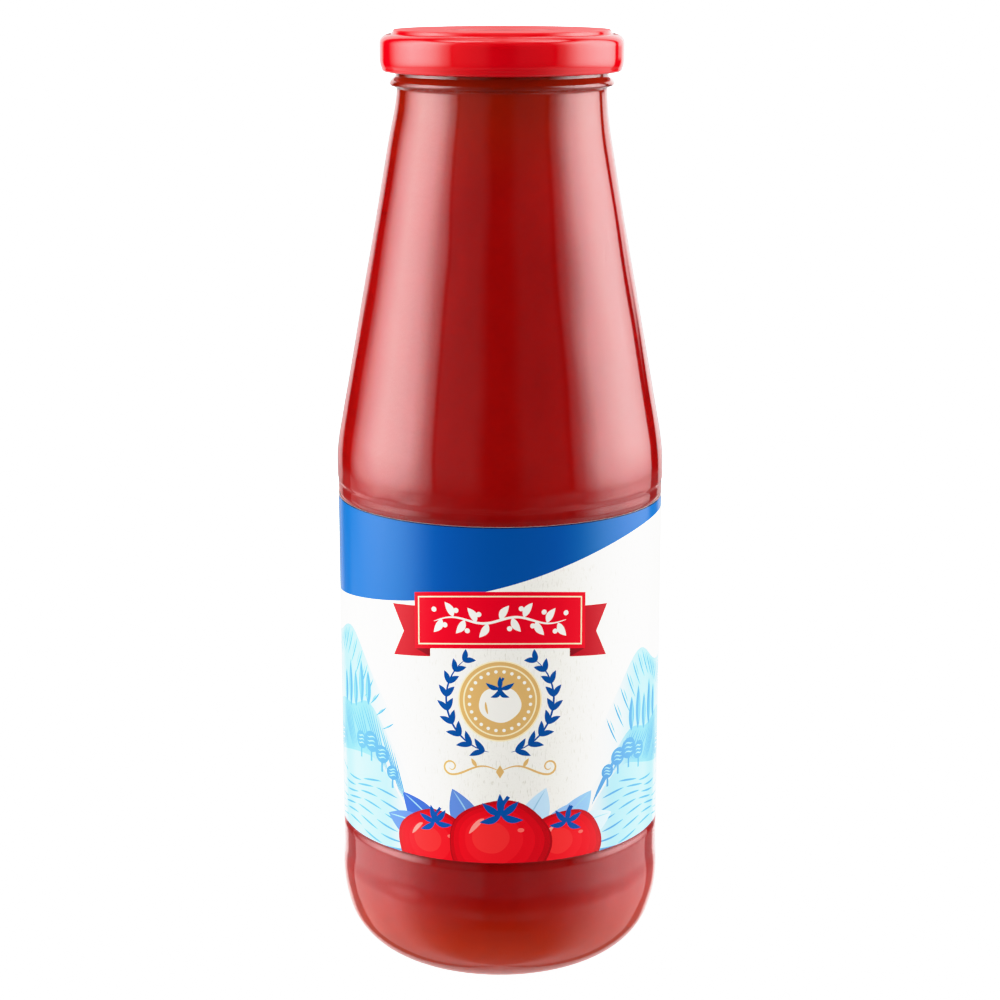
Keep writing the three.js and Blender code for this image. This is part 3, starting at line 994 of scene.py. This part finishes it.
# a dark strip low in the middle of the back, which the lid's flat top mirrors
strip_turn = w.ramp(w.math("MULTIPLY", w.math("ABSOLUTE", azimuth), 1 / math.pi), [(a / 180, v) for a, v in ((172, 0.0), (175.5, 0.5))])
strip_rise = w.ramp(rise01, [((e + 90) / 180, v) for e, v in ((-8, 0.0), (-4, 1.0), (5, 1.0), (9, 0.0))])
gap = w.math("MULTIPLY", gap, w.math("SUBTRACT", 1.0, w.math("MULTIPLY", strip_turn, strip_rise)))
table_gap = w.math("SUBTRACT", 1.0, w.math("MULTIPLY", gap_turn, 0.72))
table = w.math("MAXIMUM", w.math("MULTIPLY", table, table_gap), under)
# a faint patch of the table's front
patch_turn = w.ramp(turn, [((a + 180) / 360, v) for a, v in ((-60, 0.0), (-45, 0.28), (-14, 0.28), (-9, 0.12), (9, 0.12), (18, 0.22), (45, 0.22), (60, 0.0))])
patch_rise = w.ramp(rise01, [((e + 90) / 180, v) for e, v in ((-28, 0.0), (-25, 1.0), (-20, 1.0), (-16.5, 0.0))])
table = w.math("MAXIMUM", table, w.math("MULTIPLY", patch_turn, patch_rise))
sides = w.math("MULTIPLY", w.math("MULTIPLY", w.math("MULTIPLY", ring_light, low_fade), gap), PEAK)
path = w.add("ShaderNodeLightPath")
# the lamps round the camera light the bottle, but show only faintly in its gloss
mirrored = w.math("MULTIPLY", path.outputs["Is Glossy Ray"], w.math("SUBTRACT", 1.0, path.outputs["Is Transmission Ray"]))
TOP_LIGHT = 0.55
roof = w.math("MULTIPLY", w.ramp(rise01, [((e + 90) / 180, v) for e, v in ((50, 0.0), (62, 1.0), (90, 1.0))]), TOP_LIGHT)
roof = w.math("MULTIPLY", roof, w.math("MULTIPLY_ADD", mirrored, -0.6, 1.0))
FILL, LOW_FILL = 1.55, 0.32
fill_turn = w.ramp(turn, [((a + 180) / 360, v) for a, v in ((-75, 0.0), (-50, 1.0), (50, 1.0), (75, 0.0))])
fill_rise = w.ramp(rise01, [((e + 90) / 180, v) for e, v in ((19, 0.0), (25, 1.0), (40, 1.0), (46, 0.0))])
fill_low = w.ramp(rise01, [((e + 90) / 180, v) for e, v in ((-80, 1.0), (-20, 1.0), (10, 1.0), (30, 0.0))])
fill = w.math("MAXIMUM", w.math("MULTIPLY", fill_rise, FILL), w.math("MULTIPLY", fill_low, LOW_FILL))
fill = w.math("MULTIPLY", w.math("MULTIPLY", fill_turn, fill), w.math("MULTIPLY_ADD", mirrored, -1.0, 1.0))
# the tops of the side lamps lean inwards, which only the gloss shows
crown_rise = w.ramp(rise01, [((e + 90) / 180, v) for e, v in ((55, 0.0), (60, 1.0), (84, 1.0), (90, 0.5))])
crown = w.math("MULTIPLY", w.math("MULTIPLY_ADD", ring_light, PEAK * 0.7, 0.55), w.math("MULTIPLY", crown_rise, mirrored))
roof = w.math("ADD", roof, crown)
total = w.math("ADD", w.math("MAXIMUM", w.math("MAXIMUM", sides, table), fill), roof)
back = w.add("ShaderNodeBackground")
w.link(total, back.inputs["Color"])
plain = w.add("ShaderNodeBackground")
plain.inputs["Color"].default_value = (1, 1, 1, 1)
plain.inputs["Strength"].default_value = 2.3
choose = w.add("ShaderNodeMixShader")
w.link(path.outputs["Is Camera Ray"], choose.inputs[0])
w.link(back.outputs[0], choose.inputs[1])
w.link(plain.outputs[0], choose.inputs[2])
out = w.add("ShaderNodeOutputWorld")
w.link(choose.outputs[0], out.inputs[0])

# ------------------------------------------------------------------- attach pieces, hide CAD parts
for piece, node, slot in (
    (bottle, "bottle", "glass"),
    (sauce, "passata", "sauce"),
    (lid, "lid", "lid_enamel"),
    (label, "label", "label_paper"),
):
    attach(piece, "root")
    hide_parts(node)
